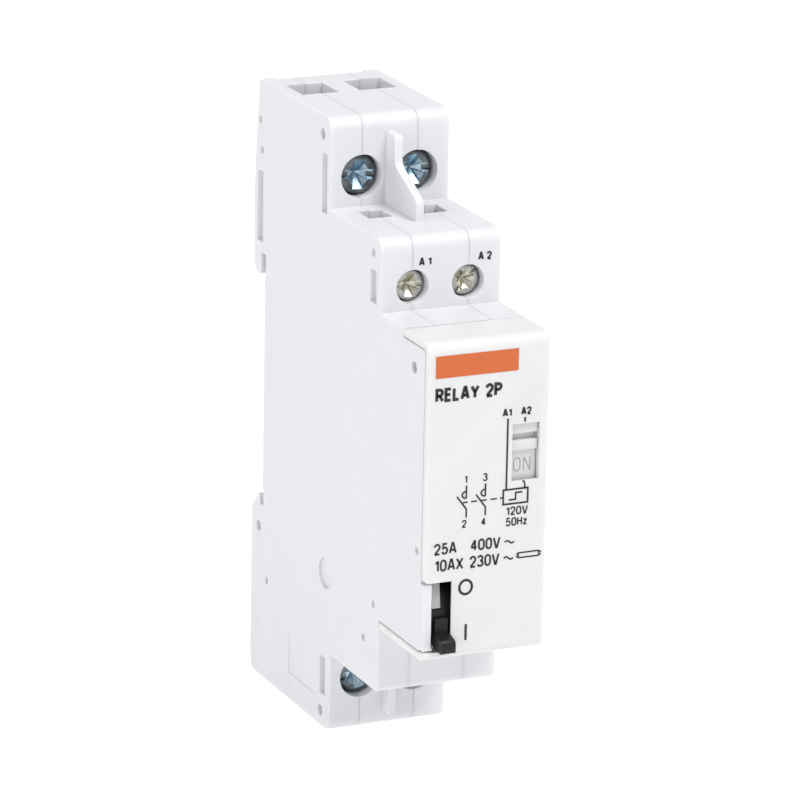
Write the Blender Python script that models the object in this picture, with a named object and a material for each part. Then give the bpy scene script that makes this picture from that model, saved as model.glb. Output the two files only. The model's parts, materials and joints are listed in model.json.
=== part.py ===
"""One-module DIN rail contactor (bistable, manually operable), as an assembly of its real pieces.

Frame: metres in Blender, written below in millimetres and scaled once. +Z is up, -Y is the front,
+X is the right side seen from the front. The origin is the middle of the rail seat, on the plane
that the rail's front face touches.
"""

import math

import bmesh
import bpy
from mathutils import Matrix, Vector

MM = 0.001

# ---- Driving dimensions, millimetres ----
WIDTH = 17.8
SEAM = 4.2             # |x| of the parting lines between shells and centre body
SEAM_GAP = 0.1         # each piece stops this far from its parting line
WALL = 1.2
TOP = 44.5
SHOULDER_FRONT = -23.0
STEP_TOP = 31.7
STEP_FRONT = -40.6
NOSE_TOP = 21.4
NOSE_FRONT = -56.8
NOSE_BOTTOM = -23.4
LOW_STEP_FRONT = -41.9
LOW_STEP_BOTTOM = -32.8
LOW_SHOULDER_FRONT = -25.3
BOTTOM = -44.4
BACK = 4.0
RAIL_SEAT = 15.8       # half height of the flat that rests on the rail
RAIL_RELIEF = 0.3      # step behind that flat under each hook, clear of the rail's edge
COVER_PLATE = 1.1
CASE_FRONT = NOSE_FRONT + COVER_PLATE + 0.2
WEB = 0.6              # half thickness of the wall between the two poles
LOW_SHIFT = LOW_SHOULDER_FRONT - SHOULDER_FRONT

POLE_X = 4.2
POWER_Z = 35.9
LOW_POWER_Z = -36.6
COIL_SCREW_X = 4.15
COIL_SCREW_Z = 24.65

PIVOT = (-50.8, -17.1)  # y, z of the rocker shaft
SHAFT_RADIUS = 1.2
SHAFT_HOLE = 1.45
SWING = 25.0            # degrees each side of the middle
CARRIER_CRANK = 3.55
FLAG_CRANK = 3.6
FLAG_TRAVEL = 2 * FLAG_CRANK * math.sin(math.radians(SWING))
COIL_Z = PIVOT[1]       # the solenoid pushes straight at the rocker

HALF = WIDTH / 2
INNER = HALF - WALL
ROUND = 24              # sides of a small turned piece


def clear_scene():
    for obj in list(bpy.data.objects):
        bpy.data.objects.remove(obj, do_unlink=True)


# ---- Materials ----
def material(name, colour, roughness, metallic=0.0):
    made = bpy.data.materials.new(name)
    made.use_nodes = True
    shader = made.node_tree.nodes["Principled BSDF"]
    shader.inputs["Base Color"].default_value = (*colour, 1.0)
    shader.inputs["Roughness"].default_value = roughness
    shader.inputs["Metallic"].default_value = metallic
    made.diffuse_color = (*colour, 1.0)
    return made


def finish(obj, finish_material, pivot=None):
    """Gives the piece its material, and moves its origin to pivot where it turns or slides about it."""
    obj.data.materials.clear()
    obj.data.materials.append(finish_material)
    if pivot is not None:
        shift = Vector(pivot) * MM
        obj.data.transform(Matrix.Translation(-shift))
        obj.location = shift
    return obj


# ---- Shapes ----
def mesh_object(name, bm):
    bmesh.ops.recalc_face_normals(bm, faces=bm.faces)
    mesh = bpy.data.meshes.new(name)
    bm.to_mesh(mesh)
    bm.free()
    obj = bpy.data.objects.new(name, mesh)
    bpy.context.scene.collection.objects.link(obj)
    return obj


def box(name, x, y, z):
    bm = bmesh.new()
    bmesh.ops.create_cube(bm, size=1.0)
    for vertex in bm.verts:
        vertex.co = Vector([
            MM * (pair[0] + (pair[1] - pair[0]) * (vertex.co[i] + 0.5)) for i, pair in enumerate((x, y, z))
        ])
    return mesh_object(name, bm)


def prism(name, outline, x):
    """An outline of (y, z) points, extruded from x[0] to x[1]."""
    bm = bmesh.new()
    face = bm.faces.new([bm.verts.new((MM * x[0], MM * y, MM * z)) for y, z in outline])
    made = bmesh.ops.extrude_face_region(bm, geom=[face])["geom"]
    top = [item for item in made if isinstance(item, bmesh.types.BMVert)]
    bmesh.ops.translate(bm, verts=top, vec=(MM * (x[1] - x[0]), 0, 0))
    return mesh_object(name, bm)


def turned(name, profile, centre, axis, sides=ROUND):
    """A closed loop of (radius, height) points, turned about an axis through centre; radius 0 is on it."""
    bm = bmesh.new()
    rings = []
    for radius, height in profile:
        if radius == 0:
            rings.append([bm.verts.new((0, 0, MM * height))])
            continue
        rings.append([
            bm.verts.new((
                MM * radius * math.cos(2 * math.pi * i / sides),
                MM * radius * math.sin(2 * math.pi * i / sides),
                MM * height,
            ))
            for i in range(sides)
        ])
    for a, b in zip(rings, rings[1:] + rings[:1]):
        for i in range(sides):
            j = (i + 1) % sides
            corners = [a[i % len(a)], a[j % len(a)], b[j % len(b)], b[i % len(b)]]
            corners = list(dict.fromkeys(corners))
            if len(corners) > 2:
                bm.faces.new(corners)
    turn = {"X": Matrix.Rotation(math.radians(90), 4, "Y"), "Y": Matrix.Rotation(math.radians(-90), 4, "X"),
            "Z": Matrix.Identity(4)}[axis]
    bm.transform(Matrix.Translation(Vector(centre) * MM) @ turn)
    obj = mesh_object(name, bm)
    obj.data.shade_smooth()
    obj.data.set_sharp_from_angle(angle=math.radians(35))
    return obj


def rod(name, centre, axis, radius, span, sides=ROUND):
    """A cylinder along axis from span[0] to span[1], where centre gives the other two coordinates."""
    place = list(centre)
    place["XYZ".index(axis)] = 0
    profile = [(0, span[0]), (radius, span[0]), (radius, span[1]), (0, span[1])]
    return turned(name, profile, place, axis, sides)


def spring(name, centre, axis, span, radius, wire, turns):
    """A helical spring of round wire, its ends flush with span."""
    steps = int(turns * 12)
    curve = bpy.data.curves.new(name, "CURVE")
    curve.dimensions = "3D"
    curve.bevel_depth = MM * wire
    curve.bevel_resolution = 1
    curve.use_fill_caps = True
    line = curve.splines.new("POLY")
    line.points.add(steps)
    for i, point in enumerate(line.points):
        angle = 2 * math.pi * turns * i / steps
        along = span[0] + wire + (span[1] - span[0] - 2 * wire) * i / steps
        across = (radius - wire) * math.cos(angle), (radius - wire) * math.sin(angle)
        place = list(centre)
        rest = [k for k in range(3) if k != "XYZ".index(axis)]
        place["XYZ".index(axis)] = along
        place[rest[0]] += across[0]
        place[rest[1]] += across[1]
        point.co = (*(Vector(place) * MM), 1.0)
    obj = bpy.data.objects.new(name, curve)
    bpy.context.scene.collection.objects.link(obj)
    return obj


def combine(target, tools, operation):
    for tool in tools:
        tool.hide_render = True
        tool.display_type = "WIRE"
        modifier = target.modifiers.new(tool.name, "BOOLEAN")
        modifier.operation = operation
        modifier.solver = "EXACT"
        modifier.object = tool
    return target


def cut(target, *tools):
    return combine(target, tools, "DIFFERENCE")


def join(target, *tools):
    return combine(target, tools, "UNION")


def rounded(corners, segments=4):
    """An outline from (y, z, radius) corners, each corner with a radius drawn as an arc."""
    outline = []
    for i, (y, z, radius) in enumerate(corners):
        here = Vector((y, z))
        if not radius:
            outline.append((y, z))
            continue
        before = (Vector(corners[i - 1][:2]) - here).normalized()
        after = (Vector(corners[(i + 1) % len(corners)][:2]) - here).normalized()
        half = before.angle(after) / 2
        centre = here + (before + after).normalized() * radius / math.sin(half)
        start = here + before * radius / math.tan(half) - centre
        end = here + after * radius / math.tan(half) - centre
        sweep = start.angle_signed(end)
        for k in range(segments + 1):
            angle = -sweep * k / segments
            turned_by = Matrix.Rotation(angle, 2)
            outline.append(tuple(centre + turned_by @ start))
    return outline


def polar(radius, degrees):
    """A point about the rocker shaft: 0 degrees is the front, 90 degrees is up."""
    angle = math.radians(degrees)
    return (PIVOT[0] - radius * math.cos(angle), PIVOT[1] + radius * math.sin(angle))


def sector(inner, outer, start, end, steps=6):
    angles = [start + (end - start) * i / steps for i in range(steps + 1)]
    return [polar(outer, a) for a in angles] + [polar(inner, a) for a in reversed(angles)]


def arm_outline(radius, degrees, half_width):
    """An arm from the shaft out to a pin at the given radius and angle, round at its end."""
    tip = Vector(polar(radius, degrees))
    along = (tip - Vector(PIVOT)).normalized()
    side = Vector((-along.y, along.x)) * half_width
    arc = [tip + Matrix.Rotation(math.radians(a), 2) @ -side for a in range(0, 181, 30)]
    ends = [Vector(PIVOT) + side, Vector(PIVOT) - side]
    return [tuple(point) for point in ends + arc]


# ---- Housing ----
def case_outline():
    return rounded([
        (2.6, TOP, 0.5),
        (SHOULDER_FRONT, TOP, 1.8),
        (SHOULDER_FRONT, STEP_TOP, 0),
        (STEP_FRONT, STEP_TOP, 1.8),
        (STEP_FRONT, NOSE_TOP, 0),
        (-48.3, NOSE_TOP, 0),
        (-48.3, NOSE_TOP - 1.2, 0),
        (CASE_FRONT, NOSE_TOP - 1.2, 0.6),
        (CASE_FRONT, NOSE_BOTTOM + 1.2, 0.5),
        (LOW_STEP_FRONT, NOSE_BOTTOM + 1.2, 0),
        (LOW_STEP_FRONT, LOW_STEP_BOTTOM, 0.8),
        (LOW_SHOULDER_FRONT, LOW_STEP_BOTTOM, 0),
        (LOW_SHOULDER_FRONT, BOTTOM, 1.5),
        (BACK - 0.4, BOTTOM, 0.8),
        (BACK, BOTTOM + 3.0, 0),
        (BACK, -19.6, 2.4),
        (1.0, -16.2, 0.4),
        (1.0, -18.3, 0),
        (-RAIL_RELIEF, -18.3, 0),
        (-RAIL_RELIEF, -RAIL_SEAT, 0),
        (0.0, -RAIL_SEAT, 0),
        (0.0, RAIL_SEAT, 0),
        (-RAIL_RELIEF, RAIL_SEAT, 0),
        (-RAIL_RELIEF, 19.3, 0),
        (1.4, 19.3, 0),
        (1.4, 16.0, 0.4),
        (BACK, 16.0, 1.5),
        (BACK + 0.2, 27.0, 0),
        (3.6, 35.2, 0),
    ])


POWER_CHAMBER = (-17.8, -1.3), (30.9, 41.2)
LOW_CHAMBER = (-17.8 + LOW_SHIFT, -1.3 + LOW_SHIFT), (-41.9, -31.0)
COIL_CHAMBER = (-36.7, -24.3), (20.9, 29.0)
CONTACT_BAY = -15.5    # behind this the web between the poles is kept


def mechanism_outline(back):
    """The hollow that holds the works, open at the front, from the nose to the plane y = back."""
    points = [
        (NOSE_FRONT, 18.9), (NOSE_FRONT, -21.6), (-40.7, -21.6), (-40.7, -31.4), (-22.0, -31.4),
        (-22.0, -29.9), (back, -29.9), (back, 29.8), (-22.9, 29.8), (-22.9, 19.9), (-39.5, 19.9),
        (-39.5, 18.9),
    ]
    return points


def terminal_cutters(prefix, x_sign, chamber_x):
    """Chambers, screw holes and wire entries of one pole and one coil terminal, on one side."""
    tools = []
    for name, chamber in (("power", POWER_CHAMBER), ("low", LOW_CHAMBER), ("coil", COIL_CHAMBER)):
        tools.append(box(f"{prefix}_{name}_chamber_cut", chamber_x, *chamber))
    x = x_sign * POLE_X
    tools.append(rod(f"{prefix}_power_head_cut", (x, 0, POWER_Z), "Y", 3.1, (SHOULDER_FRONT - 1, -18.7), 32))
    tools.append(rod(f"{prefix}_power_shank_cut", (x, 0, POWER_Z), "Y", 2.3, (-19.5, -17.0), 20))
    tools.append(rod(f"{prefix}_low_head_cut", (x, 0, LOW_POWER_Z), "Y", 3.1,
                     (LOW_SHOULDER_FRONT - 1, -18.7 + LOW_SHIFT), 32))
    tools.append(rod(f"{prefix}_low_shank_cut", (x, 0, LOW_POWER_Z), "Y", 2.3,
                     (-19.5 + LOW_SHIFT, -17.0 + LOW_SHIFT), 20))
    x = x_sign * COIL_SCREW_X
    head = STEP_FRONT - 1, -37.3
    tools.append(rod(f"{prefix}_coil_head_cut", (x, 0, COIL_SCREW_Z), "Y", 2.43, head, 28))
    tools.append(rod(f"{prefix}_coil_shank_cut", (x, 0, COIL_SCREW_Z), "Y", 1.65, (-38.0, -36.0), 16))
    wide = sorted((x_sign * 1.6, x_sign * 7.2))
    tools.append(box(f"{prefix}_power_wire_cut", wide, (-8.8, -2.7), (41.0, TOP + 1)))
    low_entry = -8.8 + LOW_SHIFT, -2.7 + LOW_SHIFT
    tools.append(box(f"{prefix}_low_wire_cut", wide, low_entry, (BOTTOM - 1, -41.7)))
    narrow = sorted((x_sign * 2.4, x_sign * 5.9))
    tools.append(box(f"{prefix}_coil_wire_cut", narrow, (-29.6, -25.7), (28.8, STEP_TOP + 1)))
    strip = sorted((x_sign * 1.9, x_sign * 6.5))
    tools.append(box(f"{prefix}_strip_cut", strip, (-9.7, -7.7), (29.0, 31.5)))
    tools.append(box(f"{prefix}_low_strip_cut", strip, (-12.0, -10.0), (-31.5, -29.0)))
    tools.append(box(f"{prefix}_coil_strip_cut", sorted((x_sign * 2.3, x_sign * 6.1)), (-31.0, -29.4),
                     (19.0, 21.4)))
    return tools


DIMPLES = [(2.2, 38.6), (1.5, 34.3), (-38.0, 29.3), (-54.0, -8.3), (-1.85, -29.2), (-36.7, -26.4),
           (-39.9, -20.5)]
RIVETS = [(-20.1, 41.7), (-52.1, 17.0), (-22.0, -42.2), (1.4, -21.8)]
SIDE_SLOTS = [((-21.96, -20.06), (30.6, 39.1)), ((-39.3, -37.2), (22.3, 26.9)),
              ((-23.7, -21.7), (-39.6, -33.9))]


def side_cutters(prefix, side):
    """What is sunk into one outer side: rivet holes, dimples, slots, a round recess and a label field."""
    tools = []
    for i, (y, z) in enumerate(DIMPLES):
        span = sorted((side * (HALF - 0.45), side * 10))
        tools.append(rod(f"{prefix}_dimple_{i}_cut", (0, y, z), "X", 0.6, span, 12))
    for i, (y, z) in enumerate(RIVETS):
        tools.append(rod(f"{prefix}_rivet_{i}_cut", (0, y, z), "X", 0.85, sorted((side * 3, side * 10)), 12))
    for i, (y, z) in enumerate(SIDE_SLOTS):
        tools.append(box(f"{prefix}_slot_{i}_cut", sorted((side * (HALF - 0.7), side * 10)), y, z))
    recess = sorted((side * (HALF - 0.4), side * 10))
    tools.append(rod(f"{prefix}_recess_cut", (0, -23.1, -21.3), "X", 2.3, recess, 28))
    field = sorted((side * (HALF - 0.12), side * 10))
    tools.append(box(f"{prefix}_field_cut", field, (-19.8, -10.3), (-40.5, -34.4)))
    bearing = sorted((side * 3, side * (HALF - 0.55)))
    tools.append(rod(f"{prefix}_shaft_cut", (0, *PIVOT), "X", SHAFT_HOLE, bearing, 16))
    return tools


def back_cutters(prefix):
    """The leaf's chamber over the upper rail hook, its blind ends, and the groove in the top back edge."""
    slit = (0.84, 3.0), (20.8, 31.2)
    return [
        box(f"{prefix}_slit_cut", (-7.7, 7.7), *slit),
        box(f"{prefix}_left_slit_end_cut", (-10, -8.1), *slit),
        box(f"{prefix}_right_slit_end_cut", (8.1, 10), *slit),
        box(f"{prefix}_groove_cut", (-6.95, 6.95), (1.3, 6.0), (37.5, TOP + 1)),
    ]


def shell(name, side, plastic):
    inner = side * (SEAM + SEAM_GAP)
    shell_body = prism(name, case_outline(), sorted((inner, side * HALF)))
    pocket = sorted((side * 3.5, side * INNER))
    if side < 0:
        tab = (-HALF, -7.5), (NOSE_FRONT + 0.25, CASE_FRONT + 0.6), (NOSE_BOTTOM + 1.5, -12.5)
        join(shell_body, box("lever_side_tab", *tab))
    tools = terminal_cutters(name, side, pocket)
    tools.append(prism(f"{name}_mechanism_cut", mechanism_outline(-1.5), pocket))
    cut(shell_body, *tools, *side_cutters(name, side), *back_cutters(name))
    return finish(shell_body, plastic)


def centre_body(plastic):
    inner = SEAM - SEAM_GAP
    body = prism("centre_body", case_outline(), (-inner, inner))
    barrier = rounded([
        (-22.0, 42.1, 0), (-26.0, 42.1, 0.8), (-26.0, 37.9, 1.5), (-33.5, 34.6, 1.6), (-33.5, 31.2, 0),
        (-22.0, 31.2, 0),
    ])
    low_barrier = (-WEB, WEB), (-27.1, -24.5), (-42.2, -32.0)
    join(body, prism("phase_barrier", barrier, (-WEB, WEB)), box("low_phase_barrier", *low_barrier))
    tools = [prism("centre_mechanism_cut", mechanism_outline(CONTACT_BAY), (-6, 6))]
    for prefix, side in (("centre_left", -1), ("centre_right", 1)):
        bay = sorted((side * WEB, side * 6))
        tools += terminal_cutters(prefix, side, bay)
        tools.append(box(f"{prefix}_contact_bay_cut", bay, (CONTACT_BAY - 0.5, -1.5), (-29.9, 29.8)))
    tools.append(box("carrier_window_cut", (-2, 2), (CONTACT_BAY - 0.5, -12.6), (-8.0, 3.2)))
    stroke_room = COIL_Z - 3.6, COIL_Z + 3.6
    tools.append(box("plunger_window_cut", (-2, 2), (CONTACT_BAY - 0.5, -13.8), stroke_room))
    for i, (y, z) in enumerate(RIVETS):
        tools.append(rod(f"centre_rivet_{i}_cut", (0, y, z), "X", 0.85, (-6, 6), 12))
    cut(body, *tools, *back_cutters("centre"))
    return finish(body, plastic)


WINDOW_X = (3.65, 7.75)
WINDOW_Z = (0.9, 9.0)
LEVER_SLOT_Z = (-22.2, -12.2)
LEVER_SLOT_X = -4.83    # right edge of the lever's slot
THIN_PLATE = 0.45       # what is left of the cover over the flag


def front_cover(plastic):
    inside = NOSE_FRONT + COVER_PLATE
    outline = rounded([
        (-48.5, NOSE_TOP, 0.3), (NOSE_FRONT, NOSE_TOP, 1.6), (NOSE_FRONT, NOSE_BOTTOM, 1.3),
        (-42.1, NOSE_BOTTOM, 0.3), (-42.1, NOSE_BOTTOM + 1.0, 0), (inside, NOSE_BOTTOM + 1.0, 0.5),
        (inside, NOSE_TOP - 1.0, 0.6),
        (-48.5, NOSE_TOP - 1.0, 0),
    ], segments=5)
    cover = prism("front_cover", outline, (-HALF, HALF))
    window = box("window_cut", WINDOW_X, (NOSE_FRONT - 1, inside + 1), WINDOW_Z)
    pocket = box("flag_pocket_cut", (3.2, 7.9), (NOSE_FRONT + THIN_PLATE, inside + 1), (-3.3, 15.2))
    slot = box("lever_slot_cut", (-HALF - 1, LEVER_SLOT_X), (NOSE_FRONT - 1, inside + 1), LEVER_SLOT_Z)
    relief_z = LEVER_SLOT_Z[0] - 0.6, LEVER_SLOT_Z[1]
    relief = box("lever_relief_cut", (-7.4, -3.9), (NOSE_FRONT + 0.3, inside + 1), relief_z)
    return finish(cut(cover, window, pocket, slot, relief), plastic)


def rivet(name, y, z, plastic):
    end = HALF - 0.45
    profile = [(0, -end), (0.4, -end), (0.55, -end + 0.15), (0.55, end - 0.15), (0.4, end), (0, end)]
    return finish(turned(name, profile, (0, y, z), "X", 12), plastic)


def rail_spring(metal):
    """A bent steel leaf in the chamber over the upper hook, which it stiffens where it grips the rail."""
    leaf = rounded([
        (1.2, 30.9, 0), (1.2, 21.2, 0.5), (2.65, 21.2, 0.4), (2.65, 23.4, 0), (2.25, 23.4, 0),
        (2.25, 21.6, 0.1), (1.6, 21.6, 0.1), (1.6, 30.9, 0),
    ], segments=3)
    return finish(prism("rail_spring", leaf, (-7.5, 7.5)), metal)


# ---- Manual lever, rocker and flag ----
REST_PIVOT = (0.0, *PIVOT)


def manual_lever(plastic):
    """A drum that closes the slot in every position, a flat face on it and the nub that a finger pushes."""
    x = (-7.3, -4.95)
    lever = rod("manual_lever", (0, *PIVOT), "X", 2.2, x)
    drum = prism("lever_drum", sector(1.8, 4.9, -58, 8, 8), x)
    skirt = prism("lever_skirt", sector(1.8, 4.3, -112, -56, 8), x)
    shield = prism("lever_shield", sector(3.6, 4.9, 6, 96, 12), (-5.8, -4.95))
    behind = prism("lever_cheek", sector(3.6, 4.55, -56, 95, 18), (-5.05, -3.3))
    front = [(-55.2, -17.6), (-56.25, -17.6), (-56.25, -20.2), (-54.2, -20.6)]
    face = prism("lever_face", front, (-6.95, -5.05))
    nub = rounded([(-54.6, -19.3, 0), (-56.25, -19.65, 0), (-58.75, -20.1, 0.75), (-58.75, -21.95, 0.35),
                   (-56.3, -21.7, 0), (-54.0, -20.3, 0)], segments=5)
    join(lever, drum, skirt, shield, behind, face, prism("lever_nub", nub, (-7.1, -4.95)))
    cut(lever, rod("lever_bore_cut", (0, *PIVOT), "X", SHAFT_HOLE, (-8, -4), 16))
    return finish(lever, plastic, REST_PIVOT)


def rocker(plastic):
    body = rod("rocker", (0, *PIVOT), "X", 1.95, (-4.7, 4.45))
    disc = rod("rocker_disc", (0, *PIVOT), "X", 3.4, (-4.7, -3.9))
    bridge = prism("rocker_bridge", sector(2.5, 3.35, 25, 70), (-6.9, -4.3))
    panel = [polar(2.9, 12), polar(4.95, 10), polar(6.3, 46), polar(2.9, 72)]
    shade = prism("rocker_shade", panel, (-7.2, -5.95))
    cam = prism("rocker_cam", sector(1.5, 2.5, 125, 235, 8), (-1.0, 1.0))
    carrier_arm = prism("carrier_arm", arm_outline(CARRIER_CRANK, 90 - SWING, 1.0), (1.2, 2.0))
    carrier_pin = rod("carrier_pin", (0, *polar(CARRIER_CRANK, 90 - SWING)), "X", 0.55, (1.5, 3.5), 12)
    flag_arm = prism("flag_arm", arm_outline(FLAG_CRANK, 180 - SWING, 1.0), (3.7, 4.4))
    flag_pin = rod("flag_pin", (0, *polar(FLAG_CRANK, 180 - SWING)), "X", 0.5, (4.0, 5.8), 12)
    join(body, disc, bridge, shade, cam, carrier_arm, carrier_pin, flag_arm, flag_pin)
    cut(body, rod("rocker_bore_cut", (0, *PIVOT), "X", SHAFT_HOLE, (-8, 8), 16))
    return finish(body, plastic, REST_PIVOT)


def rocker_shaft(metal):
    end = HALF - 0.8
    profile = [(0, -end), (0.9, -end), (SHAFT_RADIUS, -end + 0.3), (SHAFT_RADIUS, end - 0.3), (0.9, end),
               (0, end)]
    return finish(turned("rocker_shaft", profile, REST_PIVOT, "X", 16), metal, REST_PIVOT)


FLAG_FACE = NOSE_FRONT + 1.05
FLAG_RIB = NOSE_FRONT + THIN_PLATE + 0.1


def status_flag(plastic):
    """The sliding indicator: two ribs, its face, and a tail that hooks over the shaft to the rocker's pin."""
    x = (3.45, 7.6)
    tail_x = (4.7, 5.7)
    flag = box("status_flag", x, (FLAG_FACE, -53.9), (-0.1, 12.3))
    upper_rib = box("flag_upper_rib", x, (FLAG_RIB, -54.5), (7.45, 12.3))
    lower_rib = box("flag_lower_rib", x, (FLAG_RIB, -54.5), (5.05, 6.45))
    pin_y, pin_z = polar(FLAG_CRANK, 180 - SWING)
    arm_bottom = PIVOT[1] + SHAFT_RADIUS + FLAG_TRAVEL + 0.25
    tail = box("flag_tail", tail_x, (-55.4, -54.3), (arm_bottom, 0.8))
    over = box("flag_tail_arm", tail_x, (-55.4, pin_y + 1.6), (arm_bottom, arm_bottom + 1.3))
    fork = box("flag_fork", tail_x, (pin_y - 1.65, pin_y + 1.6), (pin_z - 1.6, arm_bottom + 1.3))
    join(flag, upper_rib, lower_rib, tail, over, fork)
    groove = box("flag_groove_cut", (3, 8), (-57, FLAG_FACE + 0.4), (6.45, 7.45))
    slot = box("flag_fork_cut", (4, 6.5), (pin_y - 0.8, pin_y + 3), (pin_z - 0.72, pin_z + 0.72))
    cut(flag, groove, slot)
    return finish(flag, plastic, (0, pin_y, pin_z))


# ---- Contacts ----
BRIDGE_Y = (-11.0, -10.0)
BRIDGE_Z = (-12.6, 14.2)
RING_Z = (-0.6, 2.4)


def contact_carrier(plastic):
    """The slide between rocker and contacts: a bar over the coil with one open frame for each pole."""
    carrier = box("contact_carrier", (-2.5, 3.5), (-53.9, -16.1), (-7.3, -4.3))
    tongue = box("carrier_tongue", (2.3, 3.5), (-53.9, -50.7), (-14.6, -4.5))
    plate = box("carrier_plate", (-7.2, 7.2), (-18.3, -16.1), (-7.3, RING_Z[1]))
    frames = [
        box(f"carrier_frame_{side}", sorted((side * 1.3, side * 7.2)), (-17.0, -4.9), RING_Z)
        for side in (-1, 1)
    ]
    join(carrier, tongue, plate, *frames)
    tools = []
    for side in (-1, 1):
        x = sorted((side * 1.9, side * 6.6))
        tools.append(box(f"carrier_spring_cut_{side}", x, (-11.3, -6.3), (-2, 4)))
        tools.append(box(f"carrier_front_cut_{side}", x, (-16.1, -12.7), (-2, 4)))
        corner = sorted((side * 4.0, side * 8))
        tools.append(box(f"carrier_corner_cut_{side}", corner, (-19, -15.5), (-8, -0.6)))
    pin_y, _ = polar(CARRIER_CRANK, 90 - SWING)
    tools.append(box("carrier_slot_cut", (2, 4), (pin_y - 0.75, pin_y + 0.75), (-15, -12.5)))
    cut(carrier, *tools)
    return finish(carrier, plastic, (0, pin_y, PIVOT[1]))


def contact_bridge(name, x, metal):
    bridge = box(name, (x - 1.8, x + 1.8), BRIDGE_Y, BRIDGE_Z)
    front = BRIDGE_Y[0] - 0.5
    tips = [
        turned(f"{name}_tip_{i}", [(0, front), (1.2, front), (1.5, front + 0.25), (1.5, -10.5), (0, -10.5)],
               (x, 0, z), "Y", 16)
        for i, z in enumerate((BRIDGE_Z[0] + 2.1, BRIDGE_Z[1] - 2.1))
    ]
    return finish(join(bridge, *tips), metal, (x, BRIDGE_Y[0], 0.8))


def fixed_contact(name, x, upper, metal):
    """A bent strip from a terminal clamp to the fixed contact, with its contact rivet facing the bridge."""
    if upper:
        path = [(-9.2, 40.5), (-9.2, 28.4), (-13.6, 25.4), (-13.6, 10.0)]
    else:
        path = [(-11.5, -41.2), (-11.5, -28.6), (-13.6, -26.6), (-13.6, -8.4)]
    outline = [(y, z) for y, z in path] + [(y + 1.0, z) for y, z in reversed(path)]
    strip = prism(name, outline, (x - 1.8, x + 1.8))
    z = (BRIDGE_Z[1] if upper else BRIDGE_Z[0]) + (-2.1 if upper else 2.1)
    profile = [(0, -13.0), (1.5, -13.0), (1.5, -12.05), (1.2, -11.8), (0, -11.8)]
    tip = turned(f"{name}_tip", profile, (x, 0, z), "Y", 16)
    return finish(join(strip, tip), metal)


# ---- Solenoid ----
COIL_FRONT = -37.4
COIL_REAR = -17.6


def coil_bobbin(plastic):
    a, b = COIL_FRONT, COIL_REAR
    profile = [(3.3, a), (7.4, a), (7.4, a + 1.0), (3.9, a + 1.0), (3.9, b - 1.0), (7.4, b - 1.0), (7.4, b),
               (3.3, b)]
    return finish(turned("coil_bobbin", profile, (0, 0, COIL_Z), "Y", 32), plastic)


def coil_winding(copper):
    a, b = COIL_FRONT + 1.3, COIL_REAR - 1.3
    profile = [(4.2, a), (6.8, a), (7.0, a + 0.3), (7.0, b - 0.3), (6.8, b), (4.2, b)]
    return finish(turned("coil_winding", profile, (0, 0, COIL_Z), "Y", 32), copper)


def yoke_frame(metal):
    low, high = COIL_Z - 9.2, COIL_Z + 9.2
    yoke = box("yoke_frame", (-5.5, 5.5), (-39.2, -15.8), (low, high))
    inside = box("yoke_inside_cut", (-6, 6), (-37.7, -17.3), (low + 1.4, high - 1.4))
    core_hole = rod("yoke_core_cut", (0, 0, COIL_Z), "Y", 2.5, (-40, -37), 20)
    plunger_hole = rod("yoke_plunger_cut", (0, 0, COIL_Z), "Y", 3.3, (-18, -15), 24)
    return finish(cut(yoke, inside, core_hole, plunger_hole), metal)


def fixed_core(metal):
    profile = [(1.2, -39.6), (2.2, -39.6), (2.2, COIL_FRONT), (2.9, COIL_FRONT), (2.9, -30.0), (2.2, -30.0),
               (2.2, -35.0), (1.2, -35.0)]
    return finish(turned("fixed_core", profile, (0, 0, COIL_Z), "Y", 24), metal)


def plunger(metal):
    profile = [(0, -22.9), (1.2, -22.9), (1.2, -27.2), (2.7, -27.2), (2.9, -27.0), (2.9, -14.8),
               (2.7, -14.6), (0, -14.6)]
    return finish(turned("plunger", profile, (0, 0, COIL_Z), "Y", 24), metal, (0, -27.2, COIL_Z))


def push_rod(metal):
    stem = rod("push_rod", (0, 0, COIL_Z), "Y", 0.9, (-42.6, -23.2), 14)
    eye = rod("push_rod_eye", (0, -43.0, COIL_Z), "X", 1.5, (-0.8, 0.8), 20)
    hole = rod("push_rod_hole_cut", (0, -43.0, COIL_Z), "X", 0.85, (-2, 2), 12)
    return finish(cut(join(stem, eye), hole), metal, (0, -43.0, COIL_Z))


def drive_pawl(plastic):
    """A forked pawl on the push rod: its nose pushes one shoulder of the rocker and then the other."""
    side_view = rounded([
        (-41.7, COIL_Z + 1.3, 0.8), (-44.9, COIL_Z + 1.3, 0), (-46.3, COIL_Z + 0.55, 0.2),
        (-46.3, COIL_Z - 0.55, 0.2), (-44.9, COIL_Z - 1.3, 0), (-41.7, COIL_Z - 1.3, 0.8),
    ], 3)
    pawl = prism("drive_pawl", side_view, (-1.9, 1.9))
    fork = box("pawl_fork_cut", (-1.1, 1.1), (-44.8, -40), (COIL_Z - 3, COIL_Z + 3))
    hole = rod("pawl_hole_cut", (0, -43.0, COIL_Z), "X", 0.85, (-3, 3), 12)
    height = COIL_Z - 3, COIL_Z + 3
    flanks = [
        box(f"pawl_flank_cut_{side}", sorted((side * 1.0, side * 3)), (-47, -45.3), height)
        for side in (-1, 1)
    ]
    return finish(cut(pawl, fork, hole, *flanks), plastic, (0, -43.0, COIL_Z))


def pawl_pin(metal):
    return finish(rod("pawl_pin", (0, -43.0, COIL_Z), "X", 0.55, (-2.1, 2.1), 12), metal, (0, -43.0, COIL_Z))


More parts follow.
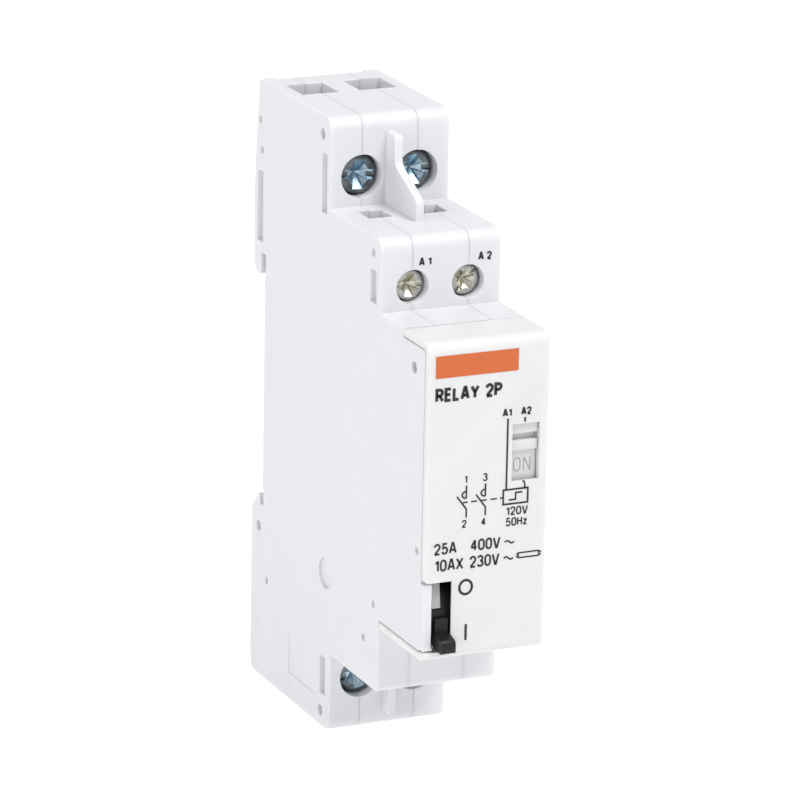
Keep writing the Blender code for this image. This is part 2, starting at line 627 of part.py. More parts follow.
# ---- Terminals ----
def screw(name, place, head_radius, head, shank_radius, tip, turn, metal):
    """A cheese-head screw with a combined slot and cross, pointing back along +Y from place."""
    x, y, z = place
    profile = [(0, y), (head_radius - 0.35, y), (head_radius, y + 0.3), (head_radius, y + head),
               (shank_radius, y + head), (shank_radius, tip - 0.4), (shank_radius - 0.4, tip), (0, tip)]
    body = turned(name, profile, (x, 0, z), "Y", 28)
    slot = box(f"{name}_slot_cut", (-head_radius - 1, head_radius + 1), (y - 1, y + 0.8), (-0.4, 0.4))
    cross = [box(f"{name}_cross_cut_{i}", *spans) for i, spans in enumerate((
        ((-1.6, 1.6), (y - 1, y + 1.3), (-0.42, 0.42)), ((-0.42, 0.42), (y - 1, y + 1.3), (-1.6, 1.6))))]
    for tool in (slot, *cross):
        scale = head_radius / 2.8 if tool is not slot else 1.0
        sized = Matrix.Diagonal((scale, 1, scale, 1))
        tool.data.transform(Matrix.Rotation(math.radians(turn), 4, "Y") @ sized)
        tool.location = (MM * x, 0, MM * z)
    return finish(cut(body, slot, *cross), metal, (x, y, z))


def cage(name, place, size, wall, hole, metal):
    """A box clamp open at top and bottom for the wire, with the screw's hole in its front wall."""
    x, y, z = place
    half_x, depth, half_z = size
    body = box(name, (x - half_x, x + half_x), (y, y + depth), (z - half_z, z + half_z))
    window = box(f"{name}_window_cut", (x - half_x + wall, x + half_x - wall), (y + wall, y + depth - wall),
                 (z - half_z - 1, z + half_z + 1))
    bore = rod(f"{name}_bore_cut", (x, 0, z), "Y", hole, (y - 1, y + wall + 0.5), 20)
    return finish(cut(body, window, bore), metal, (x, y, z))


def coil_terminal(name, x, metal):
    return finish(box(name, (x - 1.3, x + 1.3), (-30.6, -29.8), (18.6, 28.3)), metal)


def coil_lead(name, side, copper):
    """A magnet-wire tail from the coil terminal down past the yoke to the bobbin flange."""
    route = [(4.2, -30.2, 18.2), (4.4, -30.6, 16.4), (5.6, -31.6, 13.6), (6.4, -33.0, 9.5),
             (6.7, -34.6, 4.0), (6.7, -35.8, -1.5), (6.7, -36.6, -6.0), (6.7, -36.9, -12.3)]
    curve = bpy.data.curves.new(name, "CURVE")
    curve.dimensions = "3D"
    curve.bevel_depth = MM * 0.3
    curve.bevel_resolution = 1
    curve.use_fill_caps = True
    line = curve.splines.new("POLY")
    line.points.add(len(route) - 1)
    for point, (x, y, z) in zip(line.points, route):
        point.co = (MM * side * x, MM * y, MM * z, 1.0)
    obj = bpy.data.objects.new(name, curve)
    bpy.context.scene.collection.objects.link(obj)
    return finish(obj, copper)


def main():
    clear_scene()
    white = material("white_plastic", (0.84, 0.85, 0.87), 0.45)
    cover_white = material("cover_plastic", (0.87, 0.87, 0.88), 0.42)
    black = material("black_plastic", (0.03, 0.03, 0.035), 0.4)
    grey = material("grey_plastic", (0.55, 0.55, 0.55), 0.5)
    flag_white = material("flag_plastic", (0.8, 0.81, 0.83), 0.45)
    natural = material("bobbin_plastic", (0.7, 0.68, 0.6), 0.5)
    copper = material("enamelled_copper", (0.55, 0.2, 0.08), 0.35, 0.9)
    silver = material("contact_alloy", (0.75, 0.62, 0.45), 0.3, 1.0)
    steel = material("plated_steel", (0.62, 0.62, 0.6), 0.35, 1.0)
    iron = material("magnet_iron", (0.35, 0.36, 0.38), 0.45, 1.0)
    zinc = material("blue_zinc", (0.5, 0.58, 0.66), 0.3, 1.0)

    shell("left_shell", -1, white)
    shell("right_shell", 1, white)
    centre_body(white)
    front_cover(cover_white)
    for i, (y, z) in enumerate(RIVETS):
        rivet(f"case_rivet_{i + 1}", y, z, white)
    rail_spring(steel)

    manual_lever(black)
    rocker(grey)
    rocker_shaft(steel)
    status_flag(flag_white)

    contact_carrier(natural)
    for name, x in (("left", -POLE_X), ("right", POLE_X)):
        contact_bridge(f"contact_bridge_{name}", x, silver)
        made = spring(f"contact_spring_{name}", (x, 0, 0.9), "Y", (-9.7, -6.6), 1.9, 0.25, 3.5)
        finish(made, steel)
        fixed_contact(f"upper_contact_{name}", x, True, silver)
        fixed_contact(f"lower_contact_{name}", x, False, silver)

    coil_bobbin(natural)
    coil_winding(copper)
    yoke_frame(iron)
    fixed_core(iron)
    plunger(iron)
    push_rod(steel)
    finish(spring("return_spring", (0, 0, COIL_Z), "Y", (-34.7, -27.5), 1.85, 0.25, 5.5), steel)
    drive_pawl(natural)
    pawl_pin(steel)

    for name, side, coil_turn in (("left", -1, 3), ("right", 1, -45)):
        x = side * POLE_X
        levels = ("upper", POWER_Z, 0.0, -4 * side), ("lower", LOW_POWER_Z, LOW_SHIFT, 12 * side)
        for level, z, shift, turn in levels:
            place = (x, SHOULDER_FRONT + 1.15 + shift, z)
            screw(f"{level}_screw_{name}", place, 2.8, 2.85, 1.8, -9.5 + shift, turn, zinc)
            cage(f"{level}_clamp_{name}", (x, -14.3 + shift, z), (3.1, 12.6, 3.5), 1.0, 2.1, steel)
        x = side * COIL_SCREW_X
        place = (x, STEP_FRONT + 1.15, COIL_SCREW_Z)
        screw(f"coil_screw_{name}", place, 2.17, 1.85, 1.2, -30.9, coil_turn, steel)
        cage(f"coil_clamp_{name}", (x, -34.1, COIL_SCREW_Z), (2.4, 9.1, 2.5), 0.9, 1.5, steel)
        coil_terminal(f"coil_terminal_{name}", x, silver)
        coil_lead(f"coil_lead_{name}", side, copper)


main()
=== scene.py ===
"""Looks of the one-module DIN rail contactor: moulded edges, finishes, print, screws, floor, light, camera.

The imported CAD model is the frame. Lengths below are millimetres in the row frame and scaled once by MM:
+Z up, -Y the front, +X the right side seen from the front.
"""

import json
import math

import bmesh
import bpy
from mathutils import Matrix, Vector


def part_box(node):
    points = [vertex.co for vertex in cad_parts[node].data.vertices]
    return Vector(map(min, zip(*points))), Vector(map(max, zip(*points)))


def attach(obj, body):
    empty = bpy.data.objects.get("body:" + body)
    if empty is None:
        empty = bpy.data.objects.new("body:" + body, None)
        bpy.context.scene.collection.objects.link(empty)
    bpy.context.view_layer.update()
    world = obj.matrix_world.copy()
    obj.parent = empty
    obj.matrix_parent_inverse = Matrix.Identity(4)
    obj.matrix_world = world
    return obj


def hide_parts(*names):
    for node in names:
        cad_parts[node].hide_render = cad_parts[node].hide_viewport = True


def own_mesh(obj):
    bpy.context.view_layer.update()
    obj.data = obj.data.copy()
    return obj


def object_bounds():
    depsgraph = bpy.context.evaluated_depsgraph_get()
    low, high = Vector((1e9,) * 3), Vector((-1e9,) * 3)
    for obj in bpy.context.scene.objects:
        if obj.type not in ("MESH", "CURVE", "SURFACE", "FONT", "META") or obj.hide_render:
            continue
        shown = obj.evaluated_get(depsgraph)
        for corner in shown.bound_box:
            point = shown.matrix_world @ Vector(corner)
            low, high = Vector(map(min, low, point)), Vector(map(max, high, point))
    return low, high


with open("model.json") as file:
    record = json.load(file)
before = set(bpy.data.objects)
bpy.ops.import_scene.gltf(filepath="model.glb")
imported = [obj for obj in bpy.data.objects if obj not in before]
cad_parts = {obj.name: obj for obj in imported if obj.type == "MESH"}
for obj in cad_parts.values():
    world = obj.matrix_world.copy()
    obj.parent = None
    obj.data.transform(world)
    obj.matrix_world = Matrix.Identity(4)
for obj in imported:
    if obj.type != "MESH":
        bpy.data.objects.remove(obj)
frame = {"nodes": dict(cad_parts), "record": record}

cad_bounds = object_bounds()
MM = 0.001
NODES = frame["nodes"]
SLOT_OF = {part["node"]: part["material_slot"] for part in frame["record"]["subparts"]}
BODY_OF = {name: body for body, names in frame["record"]["behaviour"]["bodies"].items() for name in names}


def low_mm(node, axis):
    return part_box(node)[0]["XYZ".index(axis)] / MM


def high_mm(node, axis):
    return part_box(node)[1]["XYZ".index(axis)] / MM


# ---- Places taken from the frame ----
SCREW_SINK = 1.15                           # depth of the coil screws' heads behind the plane of their step
RIB_HEIGHT = 0.5                            # how far the flag's ribs stand out of its face
HALF_WIDTH = high_mm("right_shell", "X")
FRONT = low_mm("front_cover", "Y")          # plane of the front cover
STEP_FRONT = low_mm("coil_screw_left", "Y") - SCREW_SINK   # plane with the coil terminal screws
FLAG_FACE = low_mm("status_flag", "Y") + RIB_HEIGHT        # face of the flag, behind its ribs
SEAM = 4.2                                  # |x| of the two parting lines
SEAM_REACH = 0.15                           # a vertex this close to a parting line is on it
SEAM_HALF_GAP = 0.02                        # half of the hairline left between the closed mouldings
LOW_STEP = (1, -43.5, -38.5), (2, -34.5, -21.8)   # axis and span of the step under the nose
COVER_CORNER = (-HALF_WIDTH, -12.2)         # x, z of the cover's corner over the lever's slot
COVER_CORNER_RADIUS = 0.65
POCKET_CLEARANCE = 0.3                      # from the flag's side to the wall of the pocket it slides in
POCKET_DEPTH = 3                            # that wall lies within this of the front
POCKET_DRAWN_IN = 0.13                      # how far that wall is drawn in, to the window's edge
FLAG_WIDER = 0.08                           # how much closer the flag's right side comes to its window


# ---- Node materials ----
class Finish:
    """A Principled material whose colour, roughness and bump come from procedural textures."""

    def __init__(self, name, colour, roughness, metallic=0.0, **inputs):
        self.material = bpy.data.materials.new(name)
        self.material.use_nodes = True
        self.tree = self.material.node_tree
        self.shader = self.tree.nodes["Principled BSDF"]
        self.colour = (*colour, 1.0)
        self.shader.inputs["Base Color"].default_value = self.colour
        self.shader.inputs["Roughness"].default_value = roughness
        self.shader.inputs["Metallic"].default_value = metallic
        for label, value in inputs.items():
            self.shader.inputs[label.replace("_", " ")].default_value = value
        self.place = self.tree.nodes.new("ShaderNodeTexCoord").outputs["Object"]
        self.height = None

    def link(self, output, target):
        self.tree.links.new(output, target)

    def noise(self, scale, detail=2.0, stretch=(1.0, 1.0, 1.0)):
        """Noise over the object, scale in features per millimetre."""
        mapping = self.tree.nodes.new("ShaderNodeMapping")
        mapping.inputs["Scale"].default_value = stretch
        self.link(self.place, mapping.inputs["Vector"])
        texture = self.tree.nodes.new("ShaderNodeTexNoise")
        texture.inputs["Scale"].default_value = scale / MM
        texture.inputs["Detail"].default_value = detail
        self.link(mapping.outputs["Vector"], texture.inputs["Vector"])
        return texture.outputs["Fac"]

    def spread(self, factor, low, high):
        """Maps the middle of a noise to low..high."""
        node = self.tree.nodes.new("ShaderNodeMapRange")
        node.inputs["From Min"].default_value = 0.3
        node.inputs["From Max"].default_value = 0.7
        node.inputs["To Min"].default_value = low
        node.inputs["To Max"].default_value = high
        self.link(factor, node.inputs["Value"])
        return node.outputs["Result"]

    def mottle(self, factor, other):
        """Varies the colour between the material's own and another."""
        node = self.tree.nodes.new("ShaderNodeMix")
        node.data_type = "RGBA"
        node.inputs[6].default_value = self.colour
        node.inputs[7].default_value = (*other, 1.0)
        self.link(self.spread(factor, 0.0, 1.0), node.inputs[0])
        self.link(node.outputs[2], self.shader.inputs["Base Color"])

    def rough(self, factor, low, high):
        self.link(self.spread(factor, low, high), self.shader.inputs["Roughness"])

    def bump(self, factor, strength, depth):
        node = self.tree.nodes.new("ShaderNodeBump")
        node.inputs["Strength"].default_value = strength
        node.inputs["Distance"].default_value = depth * MM
        self.link(factor, node.inputs["Height"])
        if self.height is not None:
            self.link(self.height, node.inputs["Normal"])
        self.height = node.outputs["Normal"]
        self.link(self.height, self.shader.inputs["Normal"])


def shade(colour, factor):
    return tuple(channel * factor for channel in colour)


def moulded(name, colour, roughness, grain=0.2, gloss=0.5, depth_glow=0.35):
    """Spark-eroded thermoplastic: fine grain, faint flow mottling, and light that spreads under its skin."""
    made = Finish(name, colour, roughness, IOR=1.5, Specular_IOR_Level=gloss)
    made.shader.inputs["Subsurface Weight"].default_value = depth_glow
    made.shader.inputs["Subsurface Radius"].default_value = (1.0, 0.95, 0.9)
    made.shader.inputs["Subsurface Scale"].default_value = 1.2 * MM
    made.mottle(made.noise(0.25, 3.0), shade(colour, 0.975))
    made.rough(made.noise(1.6, 3.0), roughness - 0.05, roughness + 0.06)
    made.bump(made.noise(0.35, 2.0), 0.12, 0.02)
    made.bump(made.noise(7.0, 2.0), grain, 0.012)
    return made.material


def plated(name, colour, roughness, tint, streak=(1.0, 1.0, 1.0)):
    """Zinc or tin plate: cloudy passivation and fine scratches."""
    made = Finish(name, colour, roughness, 1.0)
    made.mottle(made.noise(0.9, 4.0), tint)
    made.rough(made.noise(3.0, 3.0, streak), roughness - 0.1, roughness + 0.14)
    made.bump(made.noise(6.0, 3.0, streak), 0.25, 0.01)
    return made.material


def make_materials():
    made = {
        "white_plastic": moulded("white_plastic", (0.745, 0.75, 0.775), 0.46),
        "cover_plastic": moulded("cover_plastic", (0.76, 0.76, 0.765), 0.42, grain=0.16),
        "flag_plastic": moulded("flag_plastic", (0.72, 0.725, 0.735), 0.4, grain=0.1),
        "black_plastic": moulded(
            "black_plastic", (0.011, 0.011, 0.013), 0.42, grain=0.3, gloss=0.3, depth_glow=0.0
        ),
        "grey_plastic": moulded("grey_plastic", (0.5, 0.5, 0.49), 0.45),
        "natural_plastic": moulded("natural_plastic", (0.68, 0.655, 0.56), 0.42),
        "contact_alloy": plated("contact_alloy", (0.72, 0.5, 0.28), 0.3, (0.6, 0.38, 0.2)),
        "plated_steel": plated("plated_steel", (0.53, 0.53, 0.51), 0.3, (0.4, 0.4, 0.38)),
        "clamp_steel": plated("clamp_steel", (0.6, 0.6, 0.58), 0.36, (0.5, 0.5, 0.47), (1.0, 0.15, 1.0)),
        "magnet_iron": plated("magnet_iron", (0.2, 0.2, 0.21), 0.5, (0.12, 0.12, 0.13)),
        # The lighter copies of plated_steel and blue_zinc paint the reflections of the lights on the walls
        # of the screws' driver recesses; blue_zinc itself is darkened to paint the dark surroundings that
        # the heads' flat faces reflect.
        "plated_steel_painted_reflection": plated("plated_steel_painted_reflection", (0.74, 0.71, 0.61), 0.27, (0.54, 0.52, 0.43)),
        "blue_zinc": plated("blue_zinc", (0.21, 0.235, 0.25), 0.34, (0.09, 0.105, 0.115)),
        "blue_zinc_painted_reflection": plated("blue_zinc_painted_reflection", (0.52, 0.65, 0.73), 0.26, (0.3, 0.43, 0.52)),
    }
    copper = Finish("enamelled_copper", (0.5, 0.13, 0.045), 0.22, 0.85, Coat_Weight=0.6, Coat_Roughness=0.12)
    copper.mottle(copper.noise(1.5, 2.0), (0.36, 0.08, 0.03))
    copper.rough(copper.noise(4.0, 2.0), 0.18, 0.32)
    copper.bump(copper.noise(0.4, 2.0, (1.0, 12.0, 1.0)), 0.5, 0.05)
    made["enamelled_copper"] = copper.material
    return made


def make_inks():
    """Pad-printed ink, slightly uneven, for the letters, and the orange field of the label; the grey one is
    painted shade for the flag's sunk letters.
    """
    inks = {}
    for name, colour, other in (
        ("black_ink", (0.022, 0.022, 0.026), (0.04, 0.04, 0.045)),
        # This grey paints the shade inside the flag's sunk letters.
        ("painted_groove_shade", (0.33, 0.34, 0.35), (0.42, 0.43, 0.44)),
        ("orange_ink", (0.645, 0.155, 0.05), (0.61, 0.14, 0.042)),
    ):
        made = Finish(name, colour, 0.5, Specular_IOR_Level=0.3)
        made.mottle(made.noise(2.5, 3.0), other)
        made.rough(made.noise(4.0, 2.0), 0.42, 0.6)
        made.bump(made.noise(9.0, 2.0), 0.1, 0.01)
        inks[name] = made.material
    return inks


MATERIALS = make_materials()
INKS = make_inks()


# ---- Meshes ----
WELD = 0.0005           # vertices closer than this are one
FLAT_WITHIN = 0.6       # degrees; triangles that bend less than this are one flat face
BENDS = 0.01            # radians; an edge that bends less than this doesn't bend
FACET_WIDTH = 1.7       # the widest strip that still counts as a facet of a round
SMOOTH_BELOW = 42       # degrees; a sharper edge also looks sharp
CAD_SMOOTH_BELOW = 35   # the same, on the meshes kept from CAD
NEAR = 0.02             # a vertex this close to a plane or a corner is on it
ON_SIDE = 0.01          # the same, for the outer side planes
ON_POCKET = 0.03        # the same, for the pocket's wall


def new_object(name, mesh, material, body):
    """Links a mesh in the row frame, gives it its finish and lets it ride on a CAD body."""
    obj = bpy.data.objects.new(name, mesh)
    bpy.context.scene.collection.objects.link(obj)
    mesh.materials.append(material)
    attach(obj, body)
    return obj


def mesh_from(bm, name):
    bmesh.ops.recalc_face_normals(bm, faces=bm.faces)
    mesh = bpy.data.meshes.new(name)
    bm.to_mesh(mesh)
    bm.free()
    return mesh


def soft_edges(face, limit):
    """Edges over which the surface bends by less than limit, as between the facets of a round."""
    return [e for e in face.edges if len(e.link_faces) == 2 and BENDS < e.calc_face_angle() < limit]


def is_facet(face, limit):
    """True for a narrow strip of a round: it bends softly into the next face on two sides or more."""
    width = face.calc_area() / max(e.calc_length() for e in face.edges)
    return width < FACET_WIDTH * MM and len(soft_edges(face, limit)) > 1


def smooth_group(vert, face, limit):
    """The faces round a vertex that join face without a sharp edge between them."""
    group = [face]
    for member in group:
        for edge in member.edges:
            if vert not in edge.verts or len(edge.link_faces) != 2 or edge.calc_face_angle() > limit:
                continue
            group += [other for other in edge.link_faces if other not in group]
    return group


def smooth_normals(bm):
    """Corner normals: flat faces keep theirs, and rounds run smoothly into the flat faces they join."""
    limit = math.radians(SMOOTH_BELOW)
    bm.normal_update()
    facets = {face: is_facet(face, limit) for face in bm.faces}
    normals = []
    for face in bm.faces:
        for loop in face.loops:
            if not facets[face]:
                normals.append(face.normal.copy())
                continue
            group = smooth_group(loop.vert, face, limit)
            flat = [f for f in group if not facets[f]]
            total = Vector()
            for member in flat or group:
                total += member.normal
            normals.append(total.normalized() if total.length > 1e-6 else face.normal.copy())
    return normals


def finished_mesh(bm, name):
    """The mesh of bm with its corner normals set."""
    bmesh.ops.remove_doubles(bm, verts=bm.verts, dist=WELD * MM)
    bmesh.ops.dissolve_degenerate(bm, edges=bm.edges, dist=WELD * MM)
    bmesh.ops.recalc_face_normals(bm, faces=bm.faces)
    bm.faces.index_update()
    normals = smooth_normals(bm)
    mesh = bpy.data.meshes.new(name)
    bm.to_mesh(mesh)
    bm.free()
    mesh.shade_smooth()
    mesh.normals_split_custom_set(normals)
    return mesh


def clean(bm):
    """Merges doubled vertices and the triangles of flat faces."""
    bmesh.ops.remove_doubles(bm, verts=bm.verts, dist=WELD * MM)
    bmesh.ops.dissolve_degenerate(bm, edges=bm.edges, dist=WELD * MM)
    bmesh.ops.dissolve_limit(bm, angle_limit=math.radians(FLAT_WITHIN), verts=bm.verts, edges=bm.edges)
    return bm


def is_corner(edge, degrees):
    """True for a convex edge that bends by more than degrees."""
    return len(edge.link_faces) == 2 and edge.is_convex and edge.calc_face_angle() > math.radians(degrees)


def spans_side(edge, reach):
    """True for an edge of the outer side plane whose other face runs in from there by at least reach."""
    if any(abs(abs(vertex.co.x) - HALF_WIDTH * MM) > ON_SIDE * MM for vertex in edge.verts):
        return False
    widths = (max(v.co.x for v in face.verts) - min(v.co.x for v in face.verts) for face in edge.link_faces)
    return max(widths) > reach * MM


def on_seam(vertex):
    return abs(abs(vertex.co.x) - SEAM * MM) < SEAM_REACH * MM


def in_low_step(vertex):
    """True on the step under the nose, where the mouldings overlap and no parting line shows."""
    return all(low < vertex.co[axis] / MM < high for axis, low, high in LOW_STEP)


def close_seams(bm):
    """Brings the parting faces together until a hairline is left, or nothing on the step under the nose."""
    for vertex in bm.verts:
        if on_seam(vertex):
            side = math.copysign(1, vertex.co.x)
            gap = 0 if in_low_step(vertex) else SEAM_HALF_GAP
            away = math.copysign(gap, abs(vertex.co.x) - SEAM * MM)
            vertex.co.x = side * (SEAM + away) * MM


def round_edges(bm, edges, radius, segments):
    bmesh.ops.bevel(bm, geom=edges, offset=radius * MM, segments=segments, profile=0.5, affect="EDGES",
                    clamp_overlap=True, offset_type="OFFSET", material=-1)


def shape_cover(bm):
    """Draws the pocket behind the flag's window in to the window's edge, and rounds the cover's corner."""
    pocket = high_mm("status_flag", "X") + POCKET_CLEARANCE
    for vertex in bm.verts:
        if abs(vertex.co.x - pocket * MM) < ON_POCKET * MM and vertex.co.y < (FRONT + POCKET_DEPTH) * MM:
            vertex.co.x -= POCKET_DRAWN_IN * MM
    round_cover_corner(bm)


def round_cover_corner(bm):
    """The round corner of the cover above the lever's slot."""
    x, z = COVER_CORNER
    corner = [
        e for e in bm.edges
        if all(abs(v.co.x - x * MM) < NEAR * MM and abs(v.co.z - z * MM) < NEAR * MM for v in e.verts)
    ]
    round_edges(bm, corner, COVER_CORNER_RADIUS, segments=5)


def widen_flag(bm):
    """Brings the flag's right side closer to the edge of its window."""
    side = max(vertex.co.x for vertex in bm.verts)
    for vertex in bm.verts:
        if side - vertex.co.x < NEAR * MM:
            vertex.co.x += FLAG_WIDER * MM


RIM_BEND = 40           # degrees; an outer side edge that bends more than this gets the rim's radius
EDGE_BEND = 50          # the same for the other corners
SIDE_WALL = 2.0         # a rim belongs to a face that runs in from the side by at least this


def moulded_piece(node, rim=0.0, edge=0.08, prepare=None, deepest=math.inf):
    """A copy of a CAD node with moulded radii: rim on its outer side edges, edge on the other corners.

    Corners that lie wholly behind y = deepest stay sharp.
    """
    bm = bmesh.new()
    bm.from_mesh(NODES[node].data)
    clean(bm)
    if prepare:
        prepare(bm)
    if rim:
        outer = [e for e in bm.edges if is_corner(e, RIM_BEND) and spans_side(e, SIDE_WALL)]
        round_edges(bm, outer, rim, segments=4)
    fine = [
        e for e in bm.edges
        if is_corner(e, EDGE_BEND) and not all(on_seam(v) for v in e.verts)
        and min(v.co.y for v in e.verts) < deepest * MM
    ]
    round_edges(bm, fine, edge, segments=2)
    replace_node(node, "moulding", finished_mesh(bm, node))


def replace_node(node, kind, mesh):
    """Shows a mesh in place of a CAD node, with that node's finish and on its body."""
    slot = SLOT_OF[node]
    obj = new_object(f"{node}_{kind}", mesh, MATERIALS[slot], BODY_OF[node])
    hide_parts(node)
    return obj


def dress_cad_nodes():
    """Procedural finishes on the CAD meshes."""
    for node, obj in NODES.items():
        slot = SLOT_OF[node]
        obj.data.materials.clear()
        obj.data.materials.append(MATERIALS[slot])
        obj.data.shade_smooth()
        obj.data.set_sharp_from_angle(angle=math.radians(CAD_SMOOTH_BELOW))


# ---- Screws ----
POWER_SCREW = 2.85, 1.8     # depth of the head, radius of the shank
COIL_SCREW = 1.85, 1.2
HEAD_SIDES = 40
HEAD_FILLET = 0.2           # of the head's radius
THREAD_ROOT = 0.82          # of the shank's radius
THREAD_PITCH = 0.34         # of the shank's radius
TIP_RADIUS = 0.55           # of the shank's radius
TIP = 0.5                   # length of the chamfered tip
NECK = 0.4                  # plain length under the head
# Driver cuts in head radii: half length and width at the face, the same at the bottom, and the depth.
SLOT = (1.2, 0.14), (1.2, 0.13), 0.25
ARM = (0.78, 0.27), (0.05, 0.04), 0.6
NOTCH = (0.58, 0.22), (0.04, 0.03), 0.5
OVERSHOOT = 0.2             # how far a cut goes on above the face, of its depth
# The painted reflection goes on the sloping faces within this reach and depth.
RECESS_REACH = 0.78         # radius and depth of the recess, of the head's radius
RECESS_DEPTH = 0.7
FACING = 0.985              # a face whose normal has more of Y than this isn't a sloping one


def lathe(profile, sides):
    """A closed solid of revolution about +Y from (radius, depth) points that start and end on the axis."""
    bm = bmesh.new()
    rings = []
    for radius, depth in profile:
        count = sides if radius else 1
        turns = [2 * math.pi * i / count for i in range(count)]
        rings.append([
            bm.verts.new((MM * radius * math.cos(t), MM * depth, MM * radius * math.sin(t))) for t in turns
        ])
    for a, b in zip(rings, rings[1:]):
        for i in range(sides):
            ahead = (i + 1) % sides
            corners = (a[i % len(a)], a[ahead % len(a)], b[ahead % len(b)], b[i % len(b)])
            corners = list(dict.fromkeys(corners))
            if len(corners) > 2:
                bm.faces.new(corners)
    return bm


def wedge(cut, radius, turn):
    """A tapered bar across a head of that radius, which cuts a slot, an arm or a notch."""
    bm = bmesh.new()
    top, bottom = ([radius * size for size in sizes] for sizes in cut[:2])
    depth = radius * cut[2]
    rise = -OVERSHOOT * depth
    grown = [t + (t - b) * OVERSHOOT for t, b in zip(top, bottom)]
    rings = []
    for (length, width), y in ((grown, rise), (bottom, depth)):
        corners = ((-length, -width), (length, -width), (length, width), (-length, width))
        rings.append([bm.verts.new((MM * x, MM * y, MM * z)) for x, z in corners])
    bm.faces.new(rings[0])
    bm.faces.new(rings[1])
    for i in range(4):
        bm.faces.new((rings[0][i], rings[0][(i + 1) % 4], rings[1][(i + 1) % 4], rings[1][i]))
    bm.transform(Matrix.Rotation(math.radians(turn), 4, "Y"))
    return bm


def carve(body, cutters):
    """Cuts the cutters from the body, all given as bmeshes, and gives the result as a bmesh."""
    holders = []
    for i, bm in enumerate((body, *cutters)):
        holder = bpy.data.objects.new(f"carve_{i}", mesh_from(bm, f"carve_{i}"))
        bpy.context.scene.collection.objects.link(holder)
        holders.append(holder)
    for cutter in holders[1:]:
        modifier = holders[0].modifiers.new(cutter.name, "BOOLEAN")
        modifier.operation = "DIFFERENCE"
        modifier.solver = "EXACT"
        modifier.object = cutter
    graph = bpy.context.evaluated_depsgraph_get()
    result = bmesh.new()
    result.from_object(holders[0], graph)
    for holder in holders:
        mesh = holder.data
        bpy.data.objects.remove(holder)
        bpy.data.meshes.remove(mesh)
    return clean(result)


def screw_profile(radius, head, shank, length):
    """Rounded head, neck, thread ridges and a chamfered tip."""
    fillet = HEAD_FILLET * radius
    profile = [(0, 0), (radius * 0.6, 0.01 * radius)]
    steps = 5
    for i in range(steps + 1):
        angle = math.radians(90 * i / steps)
        across = radius - fillet * (1 - math.sin(angle))
        profile.append((across, 0.03 * radius + fillet * (1 - math.cos(angle))))
    root = shank * THREAD_ROOT
    profile += [(radius, head - 0.1), (radius - 0.1, head), (root, head)]
    pitch = THREAD_PITCH * shank
    start = head + NECK
    for i in range(int((length - TIP - start) / pitch)):
        along = start + i * pitch
        profile += [(root, along), (shank, along + 0.4 * pitch), (shank, along + 0.6 * pitch)]
    profile += [(root, length - TIP), (shank * TIP_RADIUS, length), (0, length)]
    return profile


def mark_recess(bm, radius):
    """Gives the sloping faces of the driver recess the second material, a lighter copy of the metal that
    paints the reflections of the lights there.
    """
    for face in bm.faces:
        middle = face.calc_center_median() / MM
        inside = math.hypot(middle.x, middle.z) < RECESS_REACH * radius and middle.y < RECESS_DEPTH * radius
        if inside and abs(face.normal.y) < FACING:
            face.material_index = 1


def combination_screw(node, head, shank, turn):
    """A screw whose head takes a flat or a cross driver, in place of the CAD node."""
    low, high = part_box(node)
    radius = (high.x - low.x) / 2 / MM
    body = lathe(screw_profile(radius, head, shank, (high.y - low.y) / MM), HEAD_SIDES)
    cuts = (SLOT, 0), (ARM, 0), (ARM, 90), (NOTCH, 45), (NOTCH, 135)
    bm = carve(body, [wedge(cut, radius, turn + more) for cut, more in cuts])
    bm.normal_update()
    mark_recess(bm, radius)
    middle = Vector(((low.x + high.x) / 2, low.y, (low.z + high.z) / 2))
    bmesh.ops.translate(bm, verts=bm.verts, vec=middle)
    screw = replace_node(node, "threaded", finished_mesh(bm, node))
    # The recess faces take the lighter copy of the metal, a painted reflection.
    screw.data.materials.append(MATERIALS[SLOT_OF[node] + "_painted_reflection"])


def make_screws():
    """All six screws, each turned as the photo shows it, in degrees."""
    for name, side, coil_turn in (("left", -1, 3), ("right", 1, -45)):
        combination_screw(f"upper_screw_{name}", *POWER_SCREW, -4 * side)
        combination_screw(f"lower_screw_{name}", *POWER_SCREW, 12 * side)
        combination_screw(f"coil_screw_{name}", *COIL_SCREW, coil_turn)


# ---- Springs ----
WIRE = 0.25             # radius of the spring wire
WIRE_SIDES = 10
STEPS_A_TURN = 28
CONTACT_SPRING_TURNS = 3.5
RETURN_SPRING_TURNS = 5.5


def wound_spring(node, turns):
    """A smooth helix of round wire along Y, as long and as wide as the CAD node that it replaces."""
    low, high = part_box(node)
    middle = (Vector(low) + Vector(high)) / 2
    wire = WIRE * MM
    coil = (high.x - low.x) / 2 - wire
    rise = high.y - low.y - 2 * wire
    steps = int(turns * STEPS_A_TURN)
    climb = rise / (2 * math.pi * turns * coil)
    around = [2 * math.pi * k / WIRE_SIDES for k in range(WIRE_SIDES)]
    bm = bmesh.new()
    rings = []
    for i in range(steps + 1):
        angle = 2 * math.pi * turns * i / steps
        out = Vector((math.cos(angle), 0, math.sin(angle)))
        ahead = Vector((-math.sin(angle), climb, math.cos(angle))).normalized()
        side = ahead.cross(out)
        centre = Vector((middle.x, low.y + wire + rise * i / steps, middle.z)) + out * coil
        rims = [out * math.cos(t) + side * math.sin(t) for t in around]
        rings.append([bm.verts.new(centre + rim * wire) for rim in rims])
    for a, b in zip(rings, rings[1:]):
        for k in range(WIRE_SIDES):
            after = (k + 1) % WIRE_SIDES
            bm.faces.new((a[k], a[after], b[after], b[k]))
    bm.faces.new(rings[0])
    bm.faces.new(rings[-1])
    return replace_node(node, "wound", finished_mesh(bm, node))


